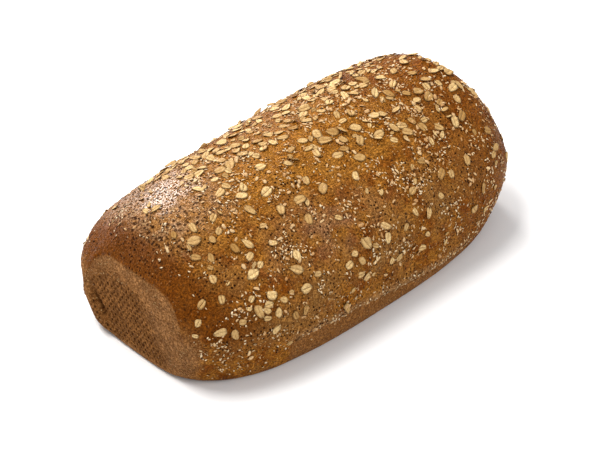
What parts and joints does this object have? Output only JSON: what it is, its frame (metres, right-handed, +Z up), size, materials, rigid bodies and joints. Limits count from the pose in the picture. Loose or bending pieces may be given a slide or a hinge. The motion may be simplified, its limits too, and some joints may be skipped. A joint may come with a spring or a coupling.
{
  "type": "seeded tin loaf",
  "caption": "Whole-grain tin loaf with a rounded crown, pressed flat ends, a low ledge along each side, and oat flakes baked onto its crust.",
  "frame": {"origin": "middle of the flat base, on the surface that the loaf rests on", "axes": "+X along the loaf towards its higher, rounder end; +Y across it; +Z up through the crown"},
  "size_m": [0.2827, 0.1615, 0.1011],
  "materials": {
    "crust": "baked whole-grain crust, satin on the crown and matt on the pressed ends",
    "oats": "toasted oat flakes, matt",
    "grains": "bran shards and pale seeds, matt"
  },
  "bodies": {
    "root": {"loaf": "crust"}
  },
  "joints": []
}
